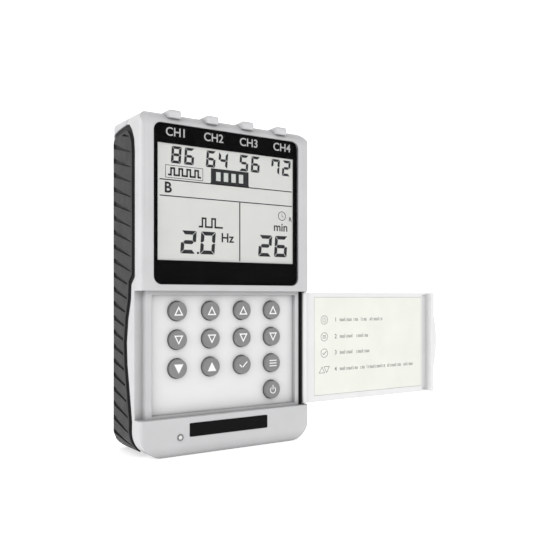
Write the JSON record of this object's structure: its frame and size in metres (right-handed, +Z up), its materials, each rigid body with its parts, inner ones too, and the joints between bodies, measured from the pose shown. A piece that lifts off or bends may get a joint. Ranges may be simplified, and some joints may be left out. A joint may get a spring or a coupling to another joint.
{
  "type": "tens unit",
  "caption": "Hand-held nerve stimulator with LCD window, recessed round-button keypad, hinged keypad cover, ribbed side grips and lead sockets in its top.",
  "frame": {"origin": "centre of the case's base", "axes": "+Z up towards the lead sockets, +Y from the display into the case, +X to the right, towards the cover's hinge"},
  "size_m": [0.1668, 0.0349, 0.1428],
  "materials": {
    "shell": "satin",
    "rear": "satin",
    "grip": "matt",
    "lens": "polished",
    "window_black": "gloss",
    "lcd": "matt",
    "backlight": "satin",
    "inner_plastic": "satin",
    "rubber_strip": "matt",
    "panel": "satin",
    "silicone": "matt",
    "steel": "satin",
    "board": "satin",
    "transformer": "satin",
    "chip": "matt",
    "nameplate": "satin",
    "indicator_grey": "satin",
    "indicator_clear": "gloss",
    "led": "gloss",
    "cover": "satin",
    "label": "matt",
    "cell": "satin",
    "spring_steel": "satin",
    "jack_metal": "satin",
    "collar": "satin",
    "button": "matt"
  },
  "bodies": {
    "body": {"front_shell": "shell", "rear_shell": "rear", "left_grip": "grip", "right_grip": "grip", "display_lens": "lens", "display_mask": "window_black", "lcd_panel": "lcd", "lcd_backlight": "backlight", "lcd_holder": "inner_plastic", "lcd_connector": "rubber_strip", "keypad_panel": "panel", "keypad_membrane": "silicone", "dome_contacts": "steel", "main_circuit_board": "board", "pulse_transformers": "transformer", "microcontroller": "chip", "buzzer": "chip", "output_jack_1": "jack_metal", "output_jack_2": "jack_metal", "output_jack_3": "jack_metal", "output_jack_4": "jack_metal", "jack_collar_1": "collar", "jack_collar_2": "collar", "jack_collar_3": "collar", "jack_collar_4": "collar", "nameplate": "nameplate", "indicator_ring": "indicator_grey", "indicator_lens": "indicator_clear", "indicator_led": "led", "hinge_strip": "nameplate", "hinge_pin_upper": "steel", "hinge_pin_lower": "steel", "battery_cells": "cell", "battery_contacts": "spring_steel", "case_screws": "steel", "board_screws": "steel"},
    "cover": {"keypad_cover": "cover", "cover_label": "label"},
    "battery_door": {"battery_door": "rear"},
    "button_up_1": {"button_up_1": "button"},
    "button_up_2": {"button_up_2": "button"},
    "button_up_3": {"button_up_3": "button"},
    "button_up_4": {"button_up_4": "button"},
    "button_down_1": {"button_down_1": "button"},
    "button_down_2": {"button_down_2": "button"},
    "button_down_3": {"button_down_3": "button"},
    "button_down_4": {"button_down_4": "button"},
    "button_decrease": {"button_decrease": "button"},
    "button_increase": {"button_increase": "button"},
    "button_set": {"button_set": "button"},
    "button_mode": {"button_mode": "button"},
    "button_power": {"button_power": "button"}
  },
  "joints": [
    {"name": "cover_hinge", "type": "hinge", "parent": "body", "child": "cover", "pos_m": [0.0408, -0.0148, 0.04225], "axis": [0, 0, -1], "range_deg": [0, 180]},
    {"name": "button_up_1_press", "type": "slide", "parent": "body", "child": "button_up_1", "axis": [0, 1, 0], "range_m": [0, 0.0008], "stiffness_N_per_m": 180},
    {"name": "button_up_2_press", "type": "slide", "parent": "body", "child": "button_up_2", "axis": [0, 1, 0], "range_m": [0, 0.0008], "stiffness_N_per_m": 180},
    {"name": "button_up_3_press", "type": "slide", "parent": "body", "child": "button_up_3", "axis": [0, 1, 0], "range_m": [0, 0.0008], "stiffness_N_per_m": 180},
    {"name": "button_up_4_press", "type": "slide", "parent": "body", "child": "button_up_4", "axis": [0, 1, 0], "range_m": [0, 0.0008], "stiffness_N_per_m": 180},
    {"name": "button_down_1_press", "type": "slide", "parent": "body", "child": "button_down_1", "axis": [0, 1, 0], "range_m": [0, 0.0008], "stiffness_N_per_m": 180},
    {"name": "button_down_2_press", "type": "slide", "parent": "body", "child": "button_down_2", "axis": [0, 1, 0], "range_m": [0, 0.0008], "stiffness_N_per_m": 180},
    {"name": "button_down_3_press", "type": "slide", "parent": "body", "child": "button_down_3", "axis": [0, 1, 0], "range_m": [0, 0.0008], "stiffness_N_per_m": 180},
    {"name": "button_down_4_press", "type": "slide", "parent": "body", "child": "button_down_4", "axis": [0, 1, 0], "range_m": [0, 0.0008], "stiffness_N_per_m": 180},
    {"name": "button_decrease_press", "type": "slide", "parent": "body", "child": "button_decrease", "axis": [0, 1, 0], "range_m": [0, 0.0008], "stiffness_N_per_m": 180},
    {"name": "button_increase_press", "type": "slide", "parent": "body", "child": "button_increase", "axis": [0, 1, 0], "range_m": [0, 0.0008], "stiffness_N_per_m": 180},
    {"name": "button_set_press", "type": "slide", "parent": "body", "child": "button_set", "axis": [0, 1, 0], "range_m": [0, 0.0008], "stiffness_N_per_m": 180},
    {"name": "button_mode_press", "type": "slide", "parent": "body", "child": "button_mode", "axis": [0, 1, 0], "range_m": [0, 0.0008], "stiffness_N_per_m": 180},
    {"name": "button_power_press", "type": "slide", "parent": "body", "child": "button_power", "axis": [0, 1, 0], "range_m": [0, 0.0008], "stiffness_N_per_m": 180},
    {"name": "battery_door_clip", "type": "slide", "parent": "body", "child": "battery_door", "axis": [0, 1, 0], "range_m": [0, 0.012]}
  ]
}
